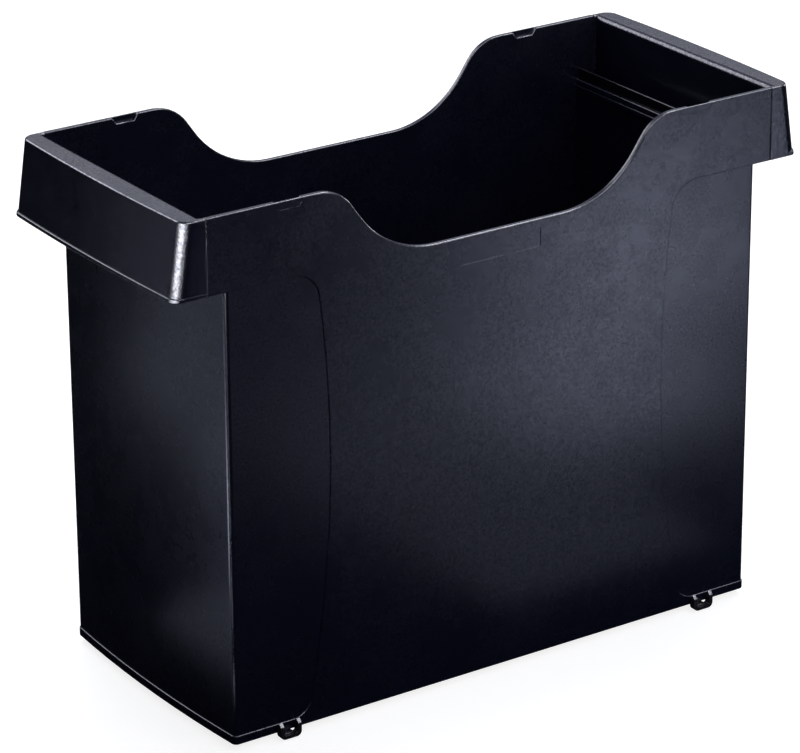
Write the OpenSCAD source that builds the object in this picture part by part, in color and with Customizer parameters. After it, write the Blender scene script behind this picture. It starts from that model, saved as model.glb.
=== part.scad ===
// Portable box for A4 hanging files: a moulded tub, two end grips, two rails and two link clips.
// Millimetres, +Z up. X runs along the box, -Y is its front, and Z = 0 is the surface it stands on.

/* [Body] */
// Distance between the centre lines of the two hanging rails
rail_span = 330; // [300:1:400]
// Depth over the front and back panels
body_depth = 159.6; // [120:0.2:260]
// Height from the standing surface to the rim
box_height = 291.2; // [270:0.1:360]
// Thickness of the walls where they are recessed
wall = 2.3; // [1.8:0.1:3.5]
// Step between the panels and the recessed end fields
relief = 0.6; // [0.3:0.1:1.2]
// Outward bow of each end wall at its middle
end_bow = 3.4; // [1:0.1:8]
// Radius of the upright corners of the body
corner_r = 3.1; // [2:0.1:8]
// Thickness of the floor
floor_t = 3; // [2:0.1:5]

/* [Foot ring] */
// Height of the ring under the floor
foot_h = 3.2; // [3:0.1:8]
// Distance from the panels and the ends to the ring
foot_inset = 14; // [12:0.5:30]
// Width of the ring's standing face
foot_w = 5; // [3:0.5:10]
// Radius of the ring's outer corners
foot_r = 12; // [11:0.5:20]

/* [Collar and finger cut-outs] */
// Height of the collar that carries the rim
collar_h = 40.5; // [34:0.5:60]
// Depth of each finger cut-out below the rim
cutout_depth = 41.5; // [30:0.5:60]
// Width of each cut-out at the rim
cutout_top_w = 220; // [200:1:230]
// Steepest slope of the S that bounds each cut-out
cutout_slope = 55; // [45:1:60]
// Radius of the cut-out's shoulders at the rim
shoulder_r = 24; // [16:0.5:26]
// Radius of the cut-out's lower bends
bend_r = 56; // [40:0.5:58]

/* [Recessed end fields] */
// Distance between the two fields at the waist of the panel
waist_w = 210; // [160:1:240]
// Radius of the long arc that bounds each field
waist_r = 690; // [500:10:1200]
// Height of the waist above the foot of the wall
waist_z = 149; // [110:1:170]
// Radius of each field's upper corner
field_top_r = 16; // [6:0.5:24]
// Radius of each field's lower corner
field_low_r = 12; // [6:0.5:24]
// Height of the band round the foot of the walls
band_h = 4.9; // [3:0.1:9]

/* [Label field] */
// Width of the bare sunk field under the rim
label_w = 50; // [30:1:90]
// Height of the sunk field
label_h = 10; // [6:0.5:20]
// Depth that the field is sunk
label_sink = 0.3; // [0.2:0.1:0.5]
// Distance from the cut-out's floor to the top of the field
label_drop = 5; // [3:0.5:20]

/* [Clip pockets in the rim] */
// Distance from a rail's centre line to the middle of the pocket beside it
pocket_inset = 37.7; // [30:0.1:41]
// Width of a pocket at the rim
pocket_top_w = 15.5; // [10:0.5:20]
// Width of a pocket at its foot
pocket_low_w = 10.4; // [6:0.2:14]
// Depth of a pocket below the rim
pocket_h = 3.4; // [2:0.1:8]
// Thickness of the web left outside a pocket
pocket_web = 0.9; // [0.6:0.1:1.5]
// Distance from a pocket to the line pressed in round it on the outer face
line_gap = 0.4; // [0.2:0.1:1]
// Width of that line
line_w = 0.6; // [0.4:0.1:1]
// Depth of that line
line_sink = 0.3; // [0.2:0.05:0.4]
// Distance from the rim down to the ends of that line
line_drop = 0.8; // [0.6:0.1:1.2]

/* [Hanging rails] */
// Thickness of the shelf that closes each end of the collar
shelf_t = 2.5; // [2:0.1:5]
// Height of a rail's edge above the shelf
rail_rise = 9.8; // [8:0.1:16]
// Thickness of a rail
rail_t = 1.2; // [0.8:0.1:2]
// Height of the moulded seat that holds a rail
seat_h = 3.5; // [2.5:0.1:6]
// Thickness of the seat on each side of the rail
seat_wall = 1.4; // [1:0.1:2]
// Depth of shelf left under the rail's slot
slot_floor = 0.6; // [0.4:0.1:1.5]
// Room between a rail's centre line and the seam of the grip
hook_room = 10; // [8:0.5:16]

/* [End grips] */
// Reach of a grip past its seam, at the rim
grip_top_reach = 14.7; // [12:0.1:24]
// Reach of a grip past its seam, at its lower edge
grip_low_reach = 20.7; // [14:0.1:32]
// Outward bow of a grip at its middle
grip_bow = 2; // [0.6:0.1:5]
// Thickness of a grip's skin
grip_wall = 2.4; // [2:0.1:3.5]
// Thickness of a grip's top ledge
ledge_t = 2.8; // [2:0.1:4]
// Radius of a grip's upright corners
grip_corner_r = 7; // [5:0.5:16]
// Radius of the ledge's inner edge
ledge_r = 3; // [1:0.1:3.5]
// Distance from the seam to a grip's inner face
face_step = 1.2; // [0.6:0.1:2]
// How far the lip stands out at a grip's lower edge
lip_out = 0.8; // [0.4:0.1:1.5]
// Height of that lip
lip_h = 2; // [1:0.1:4]
// Gap that shows at the seam
seam_gap = 0.15; // [0.1:0.05:0.4]

/* [Snap hooks of the grips] */
// Distance between the two hooks of one grip
hook_span = 90; // [60:1:96]
// Width of a hook
hook_w = 12; // [6:0.5:16]
// Reach of a hook's barb under the shelf
barb_reach = 1.6; // [0.8:0.1:3]
// Height of a hook's barb
barb_h = 1.8; // [1:0.1:3]

/* [Link clips] */
// Distance from a rail's centre line to the middle of the clip beside it
clip_inset = 31; // [20:0.5:70]
// Width of a clip along the wall
clip_w = 12.7; // [11:0.1:20]
// How far a clip stands out from the front
clip_reach = 4.6; // [4:0.1:6]
// How far a clip hangs below the foot of the wall
clip_drop = 2.8; // [2.6:0.1:2.9]
// Thickness of a clip's arms and of its bottom
clip_t = 2.2; // [1.6:0.1:2.4]
// Radius of the outer bends between the arms and the bottom
clip_bend_r = 3; // [2.5:0.1:4]
// Height of the arms above the foot of the wall
arm_rise = 6.5; // [5:0.1:12]
// Height of the pointed top of an arm
arm_point = 2; // [1:0.1:3]
// Width of the tongue under the wall and of the peg on it
peg_w = 5.4; // [4:0.1:6]
// Thickness of the peg across the wall
peg_t = 2.4; // [1.8:0.1:3]
// Distance from the front panel to the peg
peg_set = 1.9; // [1.7:0.1:3]
// Height of the peg above the foot of the wall
peg_rise = 6; // [5:0.1:12]
// Thickness of the socket block round the peg
boss_wall = 1.5; // [1:0.1:2.5]

/* [Fits] */
// Clearance of a clip from the wall and round its peg
clip_gap = 0.3; // [0.2:0.05:0.5]
// Clearance of the fixed pieces in their seats
seat_gap = 0.1; // [0.05:0.05:0.2]

/* [Hidden] */
$fn = 64;
// Segments of the long shallow arcs, which are a small part of their circle
long_fn = 720;
// Overshoot of a cutting solid past the face it cuts
cut = 1;
black = "#16171e";
grip_black = "#1d1e27";
rail_black = "#2a2b33";

half_y = body_depth / 2;
inner_y = half_y - relief - wall;
wall_z = foot_h;
floor_z = wall_z + floor_t;
band_z = wall_z + band_h;
collar_z = box_height - collar_h;
shelf_z = collar_z + shelf_t;
cutout_z = box_height - cutout_depth;

// Crown of the end walls at panel level, and the radius of their bow
end_tip = rail_span / 2 + relief + end_bow;
end_r = bow_radius(half_y - relief, end_bow) + relief;
shelf_x = rail_span / 2 - wall;

seam_x = rail_span / 2 + hook_room;
face_x = seam_x + face_step;
web_x = face_x + grip_wall;
grip_low_tip = seam_x + grip_low_reach;
grip_flare = atan((grip_low_reach - grip_top_reach) / collar_h);
grip_r = bow_radius(half_y, grip_bow);

rail_top = shelf_z + rail_rise;
rail_foot = shelf_z + slot_floor;
seat_half = rail_t / 2 + seat_gap + seat_wall;

pocket_x = rail_span / 2 - pocket_inset;
clip_x = rail_span / 2 - clip_inset;
clip_low = wall_z - clip_drop;
clip_front = -half_y - clip_reach;
clip_back = -half_y - clip_gap;
arm_top = wall_z + arm_rise;
peg_front = -half_y + peg_set;
peg_back = peg_front + peg_t;

function bow_radius(half, bow) = (half ^ 2 + bow ^ 2) / (2 * bow);

// Flat strip along -X whose right end is a long arc with its crown at x = 0, and round corners
module crowned_strip(length, low, high, crown_y, crown_r, low_r, high_r) {
    low_y = low + low_r;
    high_y = high - high_r;
    low_x = sqrt((crown_r - low_r) ^ 2 - (low_y - crown_y) ^ 2) - crown_r;
    high_x = sqrt((crown_r - high_r) ^ 2 - (high_y - crown_y) ^ 2) - crown_r;
    touch_low = crown_y + (low_y - crown_y) * crown_r / (crown_r - low_r);
    touch_high = crown_y + (high_y - crown_y) * crown_r / (crown_r - high_r);
    intersection() {
        translate([-crown_r, crown_y]) circle(r = crown_r, $fn = long_fn);
        translate([-length, touch_low]) square([length + cut, touch_high - touch_low]);
    }
    polygon([
        [-length, low], [low_x, low], [low_x, low_y], [high_x, high_y], [high_x, high], [-length, high]
    ]);
    translate([low_x, low_y]) circle(r = low_r);
    translate([high_x, high_y]) circle(r = high_r);
}

// Plan of the body, drawn in by inset from its panel level
module body_plan(inset) {
    edge_r = corner_r - inset;
    y = half_y - inset;
    for (side = [0, 1]) mirror([side, 0])
        translate([end_tip - inset, 0])
            crowned_strip(end_tip - inset, -y, y, 0, end_r - inset, edge_r, edge_r);
}

// Plan of the room inside the walls, with sharp upright corners
module room_plan() {
    r = end_r - relief - wall;
    intersection() {
        translate([end_tip - end_r, 0]) circle(r = r, $fn = long_fn);
        translate([end_r - end_tip, 0]) circle(r = r, $fn = long_fn);
        square([2 * end_tip, 2 * inner_y], center = true);
    }
}

// Extrudes an outline drawn in X and Z right through the box from front to back
module through_y(depth) {
    rotate([90, 0, 0]) linear_extrude(depth, center = true) children();
}

// Outline of the recessed field at the right end, in X and Z
module end_field() {
    translate([waist_w / 2, 0]) mirror([1, 0])
        crowned_strip(
            end_tip, band_z, collar_z, wall_z + waist_z, waist_r, field_low_r, field_top_r
        );
}

module recesses() {
    difference() {
        for (side = [0, 1]) mirror([side, 0, 0]) through_y(body_depth + 2 * cut) end_field();
        linear_extrude(box_height) body_plan(relief);
    }
}

// Wall left standing under one side of a cut-out: an S of two arcs and their common tangent
module cutout_flank() {
    bend_h = (bend_r + shoulder_r) * (1 - cos(cutout_slope));
    straight = (cutout_depth - bend_h) / sin(cutout_slope);
    run = (bend_r + shoulder_r) * sin(cutout_slope) + straight * cos(cutout_slope);
    toward = [sin(cutout_slope), -cos(cutout_slope)];
    top = [cutout_top_w / 2, box_height - shoulder_r];
    low = [top.x - run, cutout_z + bend_r];
    difference() {
        union() {
            polygon([
                [low.x, cutout_z], low + bend_r * toward, top - shoulder_r * toward, top, [top.x, cutout_z]
            ]);
            translate(top) circle(r = shoulder_r, $fn = 96);
        }
        translate(low) circle(r = bend_r, $fn = 180);
    }
}

module cutouts() {
    through_y(body_depth + 2 * cut) difference() {
        translate([-cutout_top_w / 2, cutout_z]) square([cutout_top_w, cutout_depth + cut]);
        for (side = [0, 1]) mirror([side, 0]) cutout_flank();
    }
}

// Outline of a pocket about the middle of its mouth, in X and Z, drawn out by grow
module pocket_outline(grow) {
    lean = atan2((pocket_top_w - pocket_low_w) / 2, pocket_h);
    foot = pocket_low_w / 2 + grow * (1 - sin(lean)) / cos(lean);
    mouth = pocket_top_w / 2 + grow / cos(lean);
    polygon([
        [-foot, -pocket_h - grow], [foot, -pocket_h - grow],
        [mouth, 0], [mouth, cut], [-mouth, cut], [-mouth, 0]
    ]);
}

// Pockets inside the rim, where a clip can also be pressed over two neighbouring rims
module rim_pockets() {
    through_y(2 * (half_y - pocket_web)) for (side = [-1, 1])
        translate([side * pocket_x, box_height]) pocket_outline(0);
}

// Line pressed into the outer faces round each pocket, ending just under the rim
module pocket_lines() {
    difference() {
        through_y(body_depth + 2 * cut) for (side = [-1, 1])
            translate([side * pocket_x, box_height]) difference() {
                pocket_outline(line_gap + line_w);
                pocket_outline(line_gap);
            }
        translate([-rail_span / 2, line_sink - half_y, 0])
            cube([rail_span, 2 * (half_y - line_sink), box_height + 2 * cut]);
        translate([-rail_span / 2, -body_depth, box_height - line_drop])
            cube([rail_span, 2 * body_depth, line_drop + 2 * cut]);
    }
}

module label_field() {
    translate([-label_w / 2, -half_y - cut, cutout_z - label_drop - label_h])
        cube([label_w, label_sink + cut, label_h]);
}

// Rectangle about the origin with round corners, from its two half widths
module round_plan(x, y, r) {
    square([2 * x, 2 * (y - r)], center = true);
    square([2 * (x - r), 2 * y], center = true);
    for (sx = [-1, 1], sy = [-1, 1]) translate([sx * (x - r), sy * (y - r)]) circle(r = r);
}

module foot_ring() {
    x = rail_span / 2 - foot_inset;
    y = half_y - foot_inset;
    linear_extrude(foot_h + cut) difference() {
        round_plan(x, y, foot_r);
        round_plan(x - foot_w, y - foot_w, foot_r - foot_w);
    }
}

module collar_walls() {
    for (side = [0, 1]) mirror([0, side, 0])
        translate([-seam_x, inner_y, collar_z]) cube([2 * seam_x, half_y - inner_y, collar_h]);
}

// Shelf over the end wall, with the moulded seat of the rail
module end_shelf() {
    translate([shelf_x, -inner_y, collar_z]) cube([web_x - shelf_x, 2 * inner_y, shelf_t]);
    translate([rail_span / 2 - seat_half, -inner_y, collar_z])
        cube([2 * seat_half, 2 * inner_y, shelf_t + seat_h]);
}

// Slot for the rail, and notches in the shelf's edge for the grip's hooks
module end_shelf_cuts() {
    slot_w = rail_t + 2 * seat_gap;
    translate([rail_span / 2 - slot_w / 2, -inner_y, rail_foot]) cube([slot_w, 2 * inner_y, box_height]);
    for (side = [-1, 1])
        translate([face_x - seat_gap, side * hook_span / 2 - hook_w / 2 - seat_gap, collar_z - cut])
            cube([grip_wall + seat_gap + cut, hook_w + 2 * seat_gap, shelf_t + 2 * cut]);
}

// Socket block inside the front wall for a clip's peg
module clip_boss() {
    width = peg_w + 2 * (clip_gap + boss_wall);
    depth = peg_back + clip_gap + boss_wall + inner_y + wall / 2;
    translate([-width / 2, -inner_y - wall / 2, wall_z])
        cube([width, depth, peg_rise + clip_gap + boss_wall]);
}

module clip_socket() {
    translate([-peg_w / 2 - clip_gap, peg_front - clip_gap, wall_z - cut])
        cube([peg_w + 2 * clip_gap, peg_t + 2 * clip_gap, peg_rise + clip_gap + cut]);
}

module tub() {
    color(black) difference() {
        union() {
            difference() {
                translate([0, 0, wall_z]) linear_extrude(collar_z - wall_z) body_plan(0);
                translate([0, 0, floor_z]) linear_extrude(box_height) room_plan();
                recesses();
            }
            collar_walls();
            foot_ring();
            for (side = [0, 1]) mirror([side, 0, 0]) end_shelf();
            for (side = [-1, 1]) translate([side * clip_x, 0, 0]) clip_boss();
        }
        cutouts();
        rim_pockets();
        pocket_lines();
        label_field();
        for (side = [0, 1]) mirror([side, 0, 0]) end_shelf_cuts();
        for (side = [-1, 1]) translate([side * clip_x, 0, 0]) clip_socket();
    }
}

// Flared prism of a grip, drawn in by inset and standing between two heights
module flared_skin(inset, low_z, high_z) {
    y = half_y - inset;
    edge_r = max(grip_corner_r - inset, 1);
    reach = 2 * grip_low_reach;
    intersection() {
        translate([grip_low_tip, 0, collar_z]) rotate([0, -grip_flare, 0])
            translate([-inset, 0, -collar_h])
                linear_extrude(3 * collar_h)
                    crowned_strip(reach, -y, y, 0, grip_r - inset, edge_r, edge_r);
        translate([seam_x + seam_gap, -body_depth, low_z])
            cube([reach, 2 * body_depth, high_z - low_z]);
    }
}

module snap_hook() {
    foot = collar_z - seat_gap - barb_h;
    translate([face_x, -hook_w / 2, foot])
        cube([grip_wall - seat_gap, hook_w, shelf_z - foot + cut]);
    translate([face_x - barb_reach, -hook_w / 2, foot]) cube([barb_reach + cut, hook_w, barb_h]);
}

// Lip along the lower edge of the end, flush with the front and back
module grip_lip() {
    intersection() {
        flared_skin(-lip_out, collar_z, collar_z + lip_h);
        translate([seam_x, -half_y, 0]) cube([2 * grip_low_reach, body_depth, box_height]);
    }
}

// Grip at the right end: outer skin, ledge and inner face over the shelf, and two snap hooks
module grip() {
    open_x = seam_x + seam_gap - cut;
    color(grip_black) difference() {
        union() {
            flared_skin(0, collar_z, box_height);
            grip_lip();
        }
        // Finger space behind the skin
        intersection() {
            flared_skin(grip_wall, collar_z - cut, box_height - ledge_t);
            translate([web_x, -half_y, 0]) cube([grip_low_reach, body_depth, box_height]);
        }
        // Room for the shelf, and the open corner between the seam and the inner face
        translate([open_x, -inner_y, collar_z - cut])
            cube([web_x - open_x + seat_gap, 2 * inner_y, shelf_t + cut]);
        translate([open_x, -inner_y, collar_z]) cube([face_x - open_x, 2 * inner_y, collar_h + cut]);
        // Round inner edge of the ledge
        translate([face_x, 0, box_height - ledge_r]) through_y(2 * inner_y) difference() {
            translate([-cut, 0]) square([ledge_r + cut, ledge_r + cut]);
            translate([ledge_r, 0]) circle(r = ledge_r);
        }
    }
    color(grip_black) for (side = [-1, 1]) translate([0, side * hook_span / 2, 0]) snap_hook();
}

module left_grip() { mirror([1, 0, 0]) grip(); }
module right_grip() { grip(); }

module rail(side) {
    length = 2 * (inner_y - seat_gap);
    color(rail_black) translate([side * rail_span / 2 - rail_t / 2, -length / 2, rail_foot])
        cube([rail_t, length, rail_top - rail_foot]);
}

module left_rail() { rail(-1); }
module right_rail() { rail(1); }

// Front outline of a clip, in X and Z: two arms that bend into the bottom
module clip_outline() {
    bend = [clip_w / 2 - clip_bend_r, clip_low + clip_bend_r];
    inner = [clip_w / 2 - clip_t, clip_low + clip_t];
    inner_r = clip_bend_r - clip_t;
    for (side = [0, 1]) mirror([side, 0]) {
        translate([inner.x, bend.y]) square([clip_t, arm_top - bend.y]);
        intersection() {
            translate(bend) difference() {
                circle(r = clip_bend_r);
                circle(r = inner_r);
            }
            translate([bend.x, clip_low]) square([clip_bend_r, clip_bend_r + cut / 2]);
        }
    }
    translate([-bend.x - cut / 4, clip_low]) square([2 * bend.x + cut / 2, clip_t]);
}

// Side outline of a clip, in Y and Z, with the pointed tops of its arms
module clip_side() {
    mid = (clip_front + clip_back) / 2;
    polygon([
        [clip_front, clip_low], [clip_back, clip_low], [clip_back, arm_top - arm_point],
        [mid, arm_top], [clip_front, arm_top - arm_point]
    ]);
}

module link_clip(side) {
    color(grip_black) translate([side * clip_x, 0, 0]) {
        intersection() {
            through_y(2 * body_depth) clip_outline();
            rotate([90, 0, 90]) linear_extrude(2 * clip_w, center = true) clip_side();
        }
        // Tongue under the wall and the peg that stands on it
        translate([-peg_w / 2, clip_back - clip_t, clip_low])
            cube([peg_w, peg_back - clip_back + clip_t, wall_z - clip_gap - clip_low]);
        translate([-peg_w / 2, peg_front, clip_low]) cube([peg_w, peg_t, peg_rise + clip_drop]);
    }
}

module left_link_clip() { link_clip(-1); }
module right_link_clip() { link_clip(1); }

tub();
left_grip();
right_grip();
left_rail();
right_rail();
left_link_clip();
right_link_clip();
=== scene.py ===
"""Looks of the hanging file box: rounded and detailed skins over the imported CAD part."""

import math

import bmesh
import bpy
from mathutils import Matrix, Vector
from mathutils.geometry import delaunay_2d_cdt


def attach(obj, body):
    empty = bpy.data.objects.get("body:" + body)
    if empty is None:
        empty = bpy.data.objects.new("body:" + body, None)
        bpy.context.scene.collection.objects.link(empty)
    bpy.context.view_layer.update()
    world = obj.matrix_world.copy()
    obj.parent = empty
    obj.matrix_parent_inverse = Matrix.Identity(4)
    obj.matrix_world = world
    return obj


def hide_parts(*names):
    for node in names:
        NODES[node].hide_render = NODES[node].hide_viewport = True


MM = 0.001
SIDES = ("left", "right")

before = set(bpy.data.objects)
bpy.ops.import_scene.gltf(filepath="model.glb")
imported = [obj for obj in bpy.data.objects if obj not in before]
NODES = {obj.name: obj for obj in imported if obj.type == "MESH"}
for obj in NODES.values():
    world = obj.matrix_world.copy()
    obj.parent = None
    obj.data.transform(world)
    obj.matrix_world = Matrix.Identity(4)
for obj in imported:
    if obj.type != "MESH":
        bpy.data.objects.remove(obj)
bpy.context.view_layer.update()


# ------------------------------------------------------------- shader nodes
def socket(sockets, name):
    """The socket of that name that the node's settings leave in use."""
    return next(s for s in sockets if s.name == name and s.enabled)


def add(tree, kind, inputs=None, **settings):
    """Adds a shader node; each input is given a value, or the output that feeds it."""
    node = tree.nodes.new("ShaderNode" + kind)
    for key, value in settings.items():
        setattr(node, key, value)
    for key, value in (inputs or {}).items():
        place = node.inputs[key] if isinstance(key, int) else socket(node.inputs, key)
        if isinstance(value, bpy.types.NodeSocket):
            tree.links.new(value, place)
        else:
            place.default_value = value
    return node


def noise(tree, where, scale, detail, roughness=0.5):
    inputs = {"Vector": where, "Scale": scale, "Detail": detail, "Roughness": roughness}
    return add(tree, "TexNoise", inputs).outputs["Fac"]


def combine(tree, operation, *values):
    return add(tree, "Math", dict(enumerate(values)), operation=operation).outputs[0]


def map_range(tree, value, span, to=(0.0, 1.0), interpolation="LINEAR"):
    """Turns the span of a value into the range to, and holds it there beyond the span's ends."""
    inputs = {
        "Value": value,
        "From Min": span[0],
        "From Max": span[1],
        "To Min": to[0],
        "To Max": to[1],
    }
    return add(tree, "MapRange", inputs, interpolation_type=interpolation).outputs["Result"]


def ray_mix(tree, ray, others, seen):
    """Shows the shader seen to rays of the named kind, and the first one to all others."""
    is_ray = add(tree, "LightPath").outputs[ray]
    return add(tree, "MixShader", {0: is_ray, 1: others, 2: seen}).outputs[0]


# ---------------------------------------------------------------- materials
CLOUD_SCALE = 9.0  # clouds of colour, per metre
SCUFF_SCALE = 45.0  # scuffs in the gloss, per metre
SPECK_SHARE = 0.8  # scale of the specks, as a share of the grain's
FINE_SHARE = 1.7  # scale of the finest relief, as a share of the grain's
SPECK_WEIGHT = 0.35  # specks against clouds in the colour
COLOUR_STOPS = (0.5, 0.85)  # where the dark and the light colour lie
MIDDLE = (0.3, 0.7)  # the part of a noise's range that is used
GLOSS_SPREAD = (-0.025, 0.035)  # what scuffs add to the roughness
WEAR_REACH = 1.2 * MM  # how far from an edge the wear goes
WEAR_TURN = (0.985, 0.85)  # how far the surface turns there, from no wear to full wear
WEAR_SPOTS = (0.46, 0.62)  # where the scuffs let wear show
WORN_PALER = 2.5  # a rubbed edge's colour, as a multiple of the light colour
WORN_DULLER = 0.06  # what wear adds to the roughness


def plastic(name, dark, light, roughness, grain, grain_depth, specular, grain_share):
    """Moulded plastic: grain, clouds of colour, scuffs in the gloss, and edges rubbed paler."""
    mat = bpy.data.materials.new(name)
    mat.use_nodes = True
    tree = mat.node_tree
    where = add(tree, "TexCoord").outputs["Object"]
    clouds = noise(tree, where, CLOUD_SCALE, detail=4)
    specks = noise(tree, where, SPECK_SHARE * grain, detail=2)
    scuffs = noise(tree, where, SCUFF_SCALE, detail=6, roughness=0.65)

    shade = combine(tree, "MULTIPLY_ADD", specks, SPECK_WEIGHT, clouds)
    ramp = add(tree, "ValToRGB", {"Fac": shade})
    for element, stop, colour in zip(ramp.color_ramp.elements, COLOUR_STOPS, (dark, light)):
        element.position = stop
        element.color = (*colour, 1)

    rounded = add(tree, "Bevel", {"Radius": WEAR_REACH}, samples=4).outputs["Normal"]
    surface = add(tree, "NewGeometry").outputs["Normal"]
    turn = add(tree, "VectorMath", {0: rounded, 1: surface}, operation="DOT_PRODUCT")
    at_edge = map_range(tree, turn.outputs["Value"], WEAR_TURN)
    wear = combine(tree, "MULTIPLY", at_edge, map_range(tree, scuffs, WEAR_SPOTS))
    worn = (*(WORN_PALER * c for c in light), 1)
    rub = {"Factor": wear, "A": ramp.outputs["Color"], "B": worn}
    colour = add(tree, "Mix", rub, data_type="RGBA")

    gloss = map_range(tree, scuffs, MIDDLE, [roughness + spread for spread in GLOSS_SPREAD])
    dull = combine(tree, "MULTIPLY_ADD", wear, WORN_DULLER, gloss)

    cells = add(tree, "TexVoronoi", {"Vector": where, "Scale": grain}).outputs["Distance"]
    fine = noise(tree, where, FINE_SHARE * grain, detail=3)
    relief = {"Strength": 1.0, "Distance": grain_depth, "Height": combine(tree, "ADD", cells, fine)}

    ends = (specular * (1 - grain_share), specular * (1 + grain_share))
    for goal, output in (
        ("Base Color", socket(colour.outputs, "Result")),
        ("Roughness", dull),
        ("Normal", add(tree, "Bump", relief).outputs["Normal"]),
        ("Specular IOR Level", map_range(tree, specks, MIDDLE, ends)),
    ):
        tree.links.new(output, tree.nodes["Principled BSDF"].inputs[goal])
    return mat


TUB = plastic(
    "tub_plastic",
    dark=(0.0014, 0.0024, 0.0105),
    light=(0.0030, 0.0044, 0.0160),
    roughness=0.27,
    grain=900,
    grain_depth=0.012 * MM,
    specular=0.38,
    grain_share=0.3,
)
GRIP = plastic(
    "grip_plastic",
    dark=(0.0014, 0.0024, 0.0100),
    light=(0.0030, 0.0044, 0.0150),
    roughness=0.22,
    grain=900,
    grain_depth=0.04 * MM,
    specular=0.42,
    grain_share=0.45,
)
RAIL = plastic(
    "rail_enamel",
    dark=(0.0012, 0.0014, 0.0030),
    light=(0.0026, 0.0030, 0.0060),
    roughness=0.22,
    grain=900,
    grain_depth=0.02 * MM,
    specular=0.35,
    grain_share=0.2,
)
CLIP = plastic(
    "clip_plastic",
    dark=(0.012, 0.012, 0.016),
    light=(0.018, 0.018, 0.024),
    roughness=0.22,
    grain=2400,
    grain_depth=0.01 * MM,
    specular=0.5,
    grain_share=0.2,
)


# -------------------------------------------------------------- mesh helpers
WELD = 0.002 * MM  # corners of the CAD mesh closer than this are one
FLAT = math.radians(0.4)  # faces that turn less than this are one flat area
CREASE = math.radians(35)  # an outer edge that turns more than this is rounded
SHARP = math.radians(40)  # an edge that turns more than this stays sharp
COPLANAR = 0.99999  # cosine of the turn within one flat area
CDT_PRECISION = 1e-5  # in millimetres
WIDEST = 1.1  # the largest rounding, in millimetres


def new_object(name, mesh):
    ob = bpy.data.objects.new(name, mesh)
    bpy.context.scene.collection.objects.link(ob)
    return ob


def finish_piece(ob, mat, body, node):
    """Gives a skin its material and its slot; it rides on a body and replaces a CAD node."""
    ob.data.materials.clear()
    ob.data.materials.append(mat)
    for p in ob.data.polygons:
        p.material_index = 0
    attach(ob, body)
    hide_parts(node)


def bake(ob):
    """Applies the modifiers of an object to its mesh."""
    graph = bpy.context.evaluated_depsgraph_get()
    mesh = bpy.data.meshes.new_from_object(ob.evaluated_get(graph))
    ob.modifiers.clear()
    ob.data = mesh


def split_areas(mesh):
    """Splits every flat area of more than four corners into triangles that keep to its outline."""
    bm = bmesh.new()
    bm.from_mesh(mesh)
    for face in [f for f in bm.faces if len(f.verts) > 4]:
        corners = list(face.verts)
        start = corners[0].co.copy()
        longest = max(face.edges, key=lambda e: e.calc_length())
        along = (longest.verts[1].co - longest.verts[0].co).normalized()
        across = face.normal.cross(along)
        flat = [
            Vector(((v.co - start).dot(along), (v.co - start).dot(across))) / MM for v in corners
        ]
        outline = [list(range(len(flat)))]
        points, _, triangles, sources, _, _ = delaunay_2d_cdt(flat, [], outline, 1, CDT_PRECISION)
        made = [
            corners[source[0]]
            if source
            else bm.verts.new(start + (along * p[0] + across * p[1]) * MM)
            for p, source in zip(points, sources)
        ]
        bm.faces.remove(face)
        for triangle in triangles:
            bm.faces.new([made[i] for i in triangle])
    bm.normal_update()
    bm.to_mesh(mesh)
    bm.free()


def flat_areas(bm):
    """The flat area that each face belongs to, by number, and the size of each area."""
    area_of, sizes = {}, []
    for start in bm.faces:
        if start in area_of:
            continue
        area_of[start] = len(sizes)
        total, stack = 0.0, [start]
        while stack:
            face = stack.pop()
            total += face.calc_area()
            for edge in face.edges:
                for other in edge.link_faces:
                    if other not in area_of and other.normal.dot(start.normal) > COPLANAR:
                        area_of[other] = len(sizes)
                        stack.append(other)
        sizes.append(total)
    return area_of, sizes


def smooth_fans(vert):
    """The faces round a corner, in groups that smooth edges join."""
    left = set(vert.link_faces)
    while left:
        fan = stack = [left.pop()]
        while stack:
            turn = [
                other
                for face in stack
                for edge in face.edges
                if edge.smooth and vert in edge.verts
                for other in edge.link_faces
                if other in left
            ]
            stack = list(dict.fromkeys(turn))
            left.difference_update(stack)
            fan = fan + stack
        yield fan


def even_normals(mesh):
    """Marks sharp edges; elsewhere a corner's normal is that of its flat areas, weighed by size."""
    bm = bmesh.new()
    bm.from_mesh(mesh)
    area_of, sizes = flat_areas(bm)
    for edge in bm.edges:
        edge.smooth = len(edge.link_faces) == 2 and edge.calc_face_angle(0.0) < SHARP
    normal_at = {}
    for vert in bm.verts:
        for fan in smooth_fans(vert):
            total = fan[0].normal * 1e-12  # holds the direction where all areas are tiny
            for area, normal in {area_of[f]: f.normal for f in fan}.items():
                total = total + normal * sizes[area]
            for face in fan:
                normal_at[face, vert] = total.normalized()
    normals = [normal_at[face, loop.vert] for face in bm.faces for loop in face.loops]
    bm.to_mesh(mesh)
    bm.free()
    mesh.shade_smooth()
    mesh.normals_split_custom_set(normals)


def keep_inside(mesh, box):
    """Moves the corners that lie outside the box onto it."""
    low = [min(c[i] for c in box) for i in range(3)]
    high = [max(c[i] for c in box) for i in range(3)]
    for v in mesh.vertices:
        v.co = [min(max(v.co[i], low[i]), high[i]) for i in range(3)]


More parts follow.
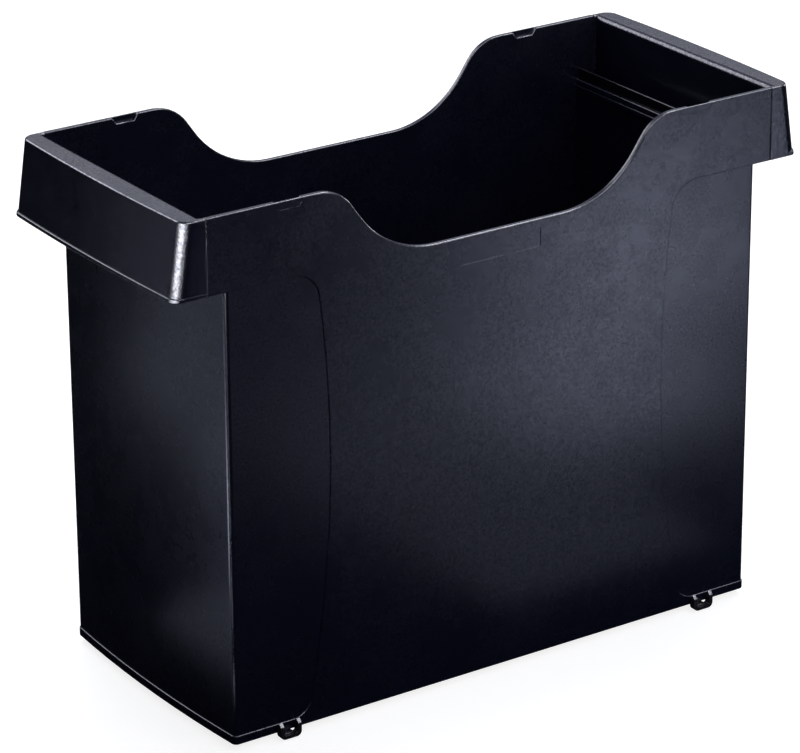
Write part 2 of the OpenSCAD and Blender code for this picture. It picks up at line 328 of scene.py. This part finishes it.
def rounded_copy(node, name, radius, segments=3):
    """A copy of a CAD node with its sharp outer edges rounded by radius(edge) millimetres."""
    mesh = NODES[node].data.copy()
    bm = bmesh.new()
    bm.from_mesh(mesh)
    bmesh.ops.remove_doubles(bm, verts=bm.verts, dist=WELD)
    bmesh.ops.dissolve_limit(
        bm, angle_limit=FLAT, verts=bm.verts, edges=bm.edges, delimit=set()
    )
    weight = bm.edges.layers.float.new("bevel_weight_edge")
    for edge in bm.edges:
        if len(edge.link_faces) == 2 and edge.is_convex and edge.calc_face_angle() > CREASE:
            edge[weight] = radius(edge) / WIDEST
    bm.to_mesh(mesh)
    bm.free()
    mesh.shade_smooth()
    ob = new_object(name, mesh)
    bevel = ob.modifiers.new("round", "BEVEL")
    bevel.width = WIDEST * MM
    bevel.segments = segments
    bevel.limit_method = "WEIGHT"
    bevel.use_clamp_overlap = False
    bevel.miter_outer = "MITER_ARC"
    bevel.loop_slide = False
    bake(ob)
    split_areas(ob.data)
    keep_inside(ob.data, NODES[node].bound_box)
    even_normals(ob.data)
    return ob


# ----------------------------------------- places on the CAD part, in metres
COLLAR_Z = 247 * MM  # below every edge of the rim and the cut-outs
TOP_Z = 290.8 * MM  # just under the rim
GRIP_TOP_Z = 290 * MM
WALL_Y = 79.5 * MM  # between the inner and the outer edges of the rim
PANEL_Y = 79.3 * MM  # behind the front face, its label place and the pocket lines
SEAM_X = 175 * MM  # where the body's collar meets the grips
SEAM_NEAR = 0.3 * MM
LINES_X = (117.5 * MM, 137 * MM)  # the pocket lines lie between these
LINES_Z = 285 * MM  # and above this
POCKETS_X = (118.5 * MM, 136 * MM)  # the rim pockets lie between these
WIDE_RIM_X = 112 * MM  # the rim is too thin beside the pockets for its widest rounding
LABEL_X = 25.3 * MM  # half the bare label's place
LABEL_Z = (200 * MM, 249 * MM)
GRIP_SEAM_X = 179 * MM  # the grips' edges inside this lie at the seam
GRIP_FRONT_Y = 79 * MM  # and outside this they show on the long walls


def tub_edge(edge):
    """Wide on the outside of the rim and the cut-outs, fine at the label's place and the pockets."""
    above = all(v.co.z > COLLAR_Z for v in edge.verts)
    facing = sorted(abs(f.normal.y) for f in edge.link_faces)
    of_long_wall = facing[0] < 0.1 and facing[1] > 0.99
    middle = (edge.verts[0].co + edge.verts[1].co) / 2
    x, y = abs(middle.x), abs(middle.y)
    if LINES_X[0] < x < LINES_X[1] and LINES_Z < middle.z < TOP_Z and y > PANEL_Y:
        return 0.09
    if x < LABEL_X and middle.y < -PANEL_Y and LABEL_Z[0] < middle.z < LABEL_Z[1]:
        return 0.12
    if middle.z > TOP_Z and POCKETS_X[0] < x < POCKETS_X[1]:
        return 0.33
    if above and abs(x - SEAM_X) < SEAM_NEAR:
        return 0.57
    if above and of_long_wall and abs(edge.verts[0].co.x) < SEAM_X:
        return 1.1 if y > WALL_Y and x < WIDE_RIM_X else 0.57
    return 0.47


def grip_edge(edge):
    """Wide round the top, fine at the lip and the finest at the seam, except on the long walls."""
    if all(abs(v.co.x) < GRIP_SEAM_X for v in edge.verts):
        return 0.5 if all(abs(v.co.y) > GRIP_FRONT_Y for v in edge.verts) else 0.2
    return 1.0 if all(v.co.z > GRIP_TOP_Z for v in edge.verts) else 0.35


def rail_edge(edge):
    return 0.35


def clip_edge(edge):
    return 0.3


# ------------------------------------------------------------------- pieces
tub = rounded_copy("tub", "tub_skin", tub_edge)
finish_piece(tub, TUB, "box", "tub")

for side in SIDES:
    grip = rounded_copy(f"{side}_grip", f"{side}_grip_skin", grip_edge)
    finish_piece(grip, GRIP, "box", f"{side}_grip")
    rail = rounded_copy(f"{side}_rail", f"{side}_rail_strip", rail_edge)
    finish_piece(rail, RAIL, "box", f"{side}_rail")
    clip = rounded_copy(f"{side}_link_clip", f"{side}_link_clip_skin", clip_edge, segments=2)
    finish_piece(clip, CLIP, f"{side}_clip", f"{side}_link_clip")


# ---------------------------------------------------------- floor and world
FLOOR_HALF = 6.0
FLOOR_DROP = 0.4 * MM  # the floor lies this far under the part
FLOOR_NEAR, FLOOR_FAR = 0.4, 2.0  # distances between which it gets paler to the camera
FLOOR_GLOW = (0.83, 1.0)  # its glow to the camera at these
FLOOR_IN_REFLECTIONS = 0.005
SKY_RISE = (0.2, 0.38)  # sines of the elevations between which reflected sky gets pale
SKY_IN_REFLECTIONS = 0.65
SKY_ON_MATT = 0.15


def build_floor():
    """Pale to the camera, with the object's shadow on it; nearly black in reflections."""
    me = bpy.data.meshes.new("floor")
    s = FLOOR_HALF
    me.from_pydata([(-s, -s, 0), (s, -s, 0), (s, s, 0), (-s, s, 0)], [], [(0, 1, 2, 3)])
    floor = new_object("floor", me)
    floor.location.z = -FLOOR_DROP
    mat = bpy.data.materials.new("floor")
    mat.use_nodes = True
    tree = mat.node_tree
    bsdf = tree.nodes["Principled BSDF"]
    bsdf.inputs["Base Color"].default_value = (0.38, 0.38, 0.385, 1)
    bsdf.inputs["Roughness"].default_value = 0.9
    bsdf.inputs["Specular IOR Level"].default_value = 0.1
    bsdf.inputs["Emission Color"].default_value = (1, 1, 1, 1)
    where = add(tree, "TexCoord").outputs["Object"]
    reach = add(tree, "VectorMath", {0: where}, operation="LENGTH").outputs["Value"]
    paler = map_range(tree, reach, (FLOOR_NEAR, FLOOR_FAR), FLOOR_GLOW)
    is_camera = add(tree, "LightPath").outputs["Is Camera Ray"]
    tree.links.new(combine(tree, "MULTIPLY", is_camera, paler), bsdf.inputs["Emission Strength"])
    dim = add(tree, "Emission", {"Color": (0.8, 0.85, 1, 1), "Strength": FLOOR_IN_REFLECTIONS})
    mix = ray_mix(tree, "Is Glossy Ray", bsdf.outputs[0], dim.outputs[0])
    tree.links.new(mix, tree.nodes["Material Output"].inputs["Surface"])
    me.materials.append(mat)


def build_world():
    """White to the camera; dark low down and pale above it in reflections; dim to matt surfaces."""
    world = bpy.data.worlds.new("studio")
    bpy.context.scene.world = world
    world.use_nodes = True
    tree = world.node_tree
    ground = tree.nodes["Background"]
    ground.inputs["Color"].default_value = (0.8, 0.88, 1.0, 1)
    ground.inputs["Strength"].default_value = SKY_ON_MATT
    generated = add(tree, "TexCoord").outputs["Generated"]
    height = add(tree, "SeparateXYZ", {0: generated}).outputs["Z"]
    rise = map_range(tree, height, SKY_RISE, (0.0, SKY_IN_REFLECTIONS), "SMOOTHSTEP")
    sheen = add(tree, "Background", {"Color": (0.80, 0.83, 1, 1), "Strength": rise}).outputs[0]
    white = add(tree, "Background", {"Color": (1, 1, 1, 1), "Strength": 1.0}).outputs[0]
    mix = ray_mix(tree, "Is Glossy Ray", ground.outputs[0], sheen)
    mix = ray_mix(tree, "Is Transmission Ray", mix, sheen)
    mix = ray_mix(tree, "Is Camera Ray", mix, white)
    tree.links.new(mix, tree.nodes["World Output"].inputs["Surface"])


# ------------------------------------------------------------------- lights
WHITE = (1, 1, 1)
BLUISH = (0.70, 0.75, 1.0)
PALE = (0.88, 0.9, 1.0)
WIDE_OPEN = 90  # half the spread of a plain panel, in degrees

LEFT_RIM = (-0.19, -0.08, 0.27)  # the left grip's front corner, high on the collar
LEFT_SEAM = (-0.175, -0.08, 0.27)
FRONT_RIM = (0.1, -0.08, 0.27)
TOP_MIDDLE = (0, 0, 0.29)

SOFT_LIGHTS = (  # name, place, aim, size, radiance
    ("top", (0.3, 0.5, 1.5), (0, 0, 0.1), (1.3, 1.1), 6),
    ("front", (0.4, -1.4, 1.2), (0, 0, 0.1), (1.2, 0.9), 2.2),
)
TILE = (0.15, 0.155)  # size of the panels on the floor in front and at the left
FLOOR_PANELS = (  # name, x, y, size, radiance
    ("right_main", 0.44, -0.54, TILE, 8.2),
    ("right_mid", 0.28, -0.38, TILE, 3.6),
    ("right_far", 0.60, -0.72, TILE, 7.4),
    ("right_end", 0.78, -0.72, TILE, 5.4),
    ("right_near", 0.12, -0.38, TILE, 0.75),
    ("right_foot", 0.12, -0.22, TILE, 0.5),
    ("left_front", -0.46, 0.0, TILE, 15.0),
    ("left_side", -0.66, 0.18, TILE, 6.5),
    ("left_mid", -0.46, 0.18, TILE, 1.1),
    ("left_back", -0.46, 0.36, TILE, 0.8),
    ("left_far", -0.66, 0.56, TILE, 3.2),
    ("left_foot", -0.30, 0.0, TILE, 0.4),
    ("back_floor", 0.12, 0.52, (0.5, 0.45), 1.1),
    ("back_floor_near", -0.02, 0.24, (0.3, 0.14), 0.4),
    ("right_floor", 0.55, 0.18, (0.4, 0.4), 1.1),
)
GRIP_STRIPS = (  # name, place, size, radiance
    ("left_strip", (-1.1, -0.5, 0.19), (0.5, 0.28), 42),
    ("left_strip_end", (-1.2, -0.15, 0.19), (0.34, 0.28), 26),
    ("left_strip_back", (-1.2, 0.22, 0.18), (0.3, 0.28), 3.5),
    ("left_strip_near", (-0.82, -0.88, 0.19), (0.4, 0.28), 12),
)
CORNER = (-0.165, -0.08)  # the body's front left corner, seen from above
MIRRORED = (2.02, 1.365)  # how far left and forward it mirrors the floor, per unit of height
CORNER_GLINTS = (  # height on the corner, radiance
    (0.03, 22),
    (0.07, 20),
    (0.11, 16),
    (0.15, 13),
    (0.19, 12),
    (0.23, 10),
)
HIGH_PANELS = (  # name, place, aim, size, radiance, colour
    ("left_glow", (-1.0, 0.83, 0.16), (-0.19, -0.06, 0.27), (0.15, 0.3), 0.85, BLUISH),
    ("over_right", (0.7, 0.0, 1.35), TOP_MIDDLE, (0.6, 0.5), 26, PALE),
    ("over_front", (0.93, -0.69, 1.52), (0.1, -0.08, 0.29), (0.7, 0.6), 14, PALE),
    ("low_front", (0.88, -1.24, 0.77), FRONT_RIM, (0.6, 0.7), 4, PALE),
    ("over_camera", (-0.2, -0.95, 1.25), FRONT_RIM, (1.1, 0.5), 22, PALE),
    ("low_right", (1.5, 0.07, 0.4), (-0.1, -0.08, 0.27), (0.5, 0.4), 20, PALE),
    ("over_back_left", (-0.62, 1.0, 0.95), (-0.19, 0, 0.29), (1.1, 0.9), 7, PALE),
    ("behind", (1.1, 1.6, 1.05), TOP_MIDDLE, (1.3, 0.45), 0.8, PALE),
)


def panel(name, place, aim, size, radiance, colour, soft=False, half_spread=WIDE_OPEN):
    """A flat light of the given radiance, for matt surfaces if it is soft, else for glossy ones."""
    light = bpy.data.lights.new(name, "AREA")
    light.shape = "RECTANGLE"
    light.size, light.size_y = size
    light.energy = math.pi * size[0] * size[1] * radiance
    if half_spread < WIDE_OPEN:
        half = math.radians(half_spread)
        light.spread = 2 * half
        light.energy *= 1 - half / math.tan(half)  # or its middle would get brighter
    light.color = colour
    ob = new_object(name, light)
    ob.location = place
    ob.rotation_euler = (Vector(place) - Vector(aim)).to_track_quat("Z", "Y").to_euler()
    ob.visible_camera = False
    ob.visible_diffuse = soft
    ob.visible_glossy = not soft
    return ob


def build_lights():
    """Two soft lamps, and panels for the black walls to mirror."""
    for name, place, aim, size, radiance in SOFT_LIGHTS:
        panel(name, place, aim, size, radiance, WHITE, soft=True)
    for name, x, y, size, radiance in FLOOR_PANELS:
        panel(name, (x, y, 0.002), (x, y, 1), size, radiance, BLUISH)
    grips = bpy.data.collections.new("lit_grips")
    for side in SIDES:
        grips.objects.link(bpy.data.objects[f"{side}_grip_skin"])
    for name, place, size, radiance in GRIP_STRIPS:
        strip = panel(name, place, LEFT_RIM, size, radiance, PALE)
        strip.light_linking.receiver_collection = grips
    seam_place = (-0.76, -0.475, 0.003)
    panel("seam_glint", seam_place, LEFT_SEAM, (0.16, 0.16), 150, PALE, half_spread=6)
    for height, radiance in CORNER_GLINTS:
        name = f"corner_glint_{round(1000 * height)}"
        place = (*(c - m * height for c, m in zip(CORNER, MIRRORED)), 0.003)
        width = 0.3 * height + 0.02
        panel(name, place, (*CORNER, height), (width, width), radiance, PALE, half_spread=8)
    for name, place, aim, size, radiance, colour in HIGH_PANELS:
        panel(name, place, aim, size, radiance, colour)


# ------------------------------------------------------------------- camera
# fitted to the photograph: lengths in metres, angles in degrees
AZIMUTH, ELEVATION, ROLL = -34.056, 22.301, -0.3385
TARGET = Vector((-8.652, 0, 143.316)) * MM
DISTANCE = 2167.14 * MM
IMAGE_WIDTH = 800  # pixels
FOCAL_LENGTH = 4073.67  # pixels
SENSOR_WIDTH = 36  # millimetres


def build_camera():
    azimuth, elevation, roll = (math.radians(a) for a in (AZIMUTH, ELEVATION, ROLL))
    right = Vector((math.cos(azimuth), math.sin(azimuth), 0))
    level = math.cos(elevation)
    back = Vector((math.sin(azimuth) * level, -math.cos(azimuth) * level, math.sin(elevation)))
    up = back.cross(right)
    turned_right = math.cos(roll) * right + math.sin(roll) * up
    turned_up = -math.sin(roll) * right + math.cos(roll) * up
    data = bpy.data.cameras.new("camera")
    data.sensor_fit = "HORIZONTAL"
    data.sensor_width = SENSOR_WIDTH
    data.lens = FOCAL_LENGTH * SENSOR_WIDTH / IMAGE_WIDTH
    data.clip_start, data.clip_end = 0.05, 50
    camera = new_object("camera", data)
    turn = Matrix((turned_right, turned_up, back)).transposed().to_4x4()
    camera.matrix_world = Matrix.Translation(TARGET + DISTANCE * back) @ turn
    bpy.context.scene.camera = camera


build_floor()
build_world()
build_lights()
build_camera()

bpy.context.scene.view_settings.view_transform = "Standard"
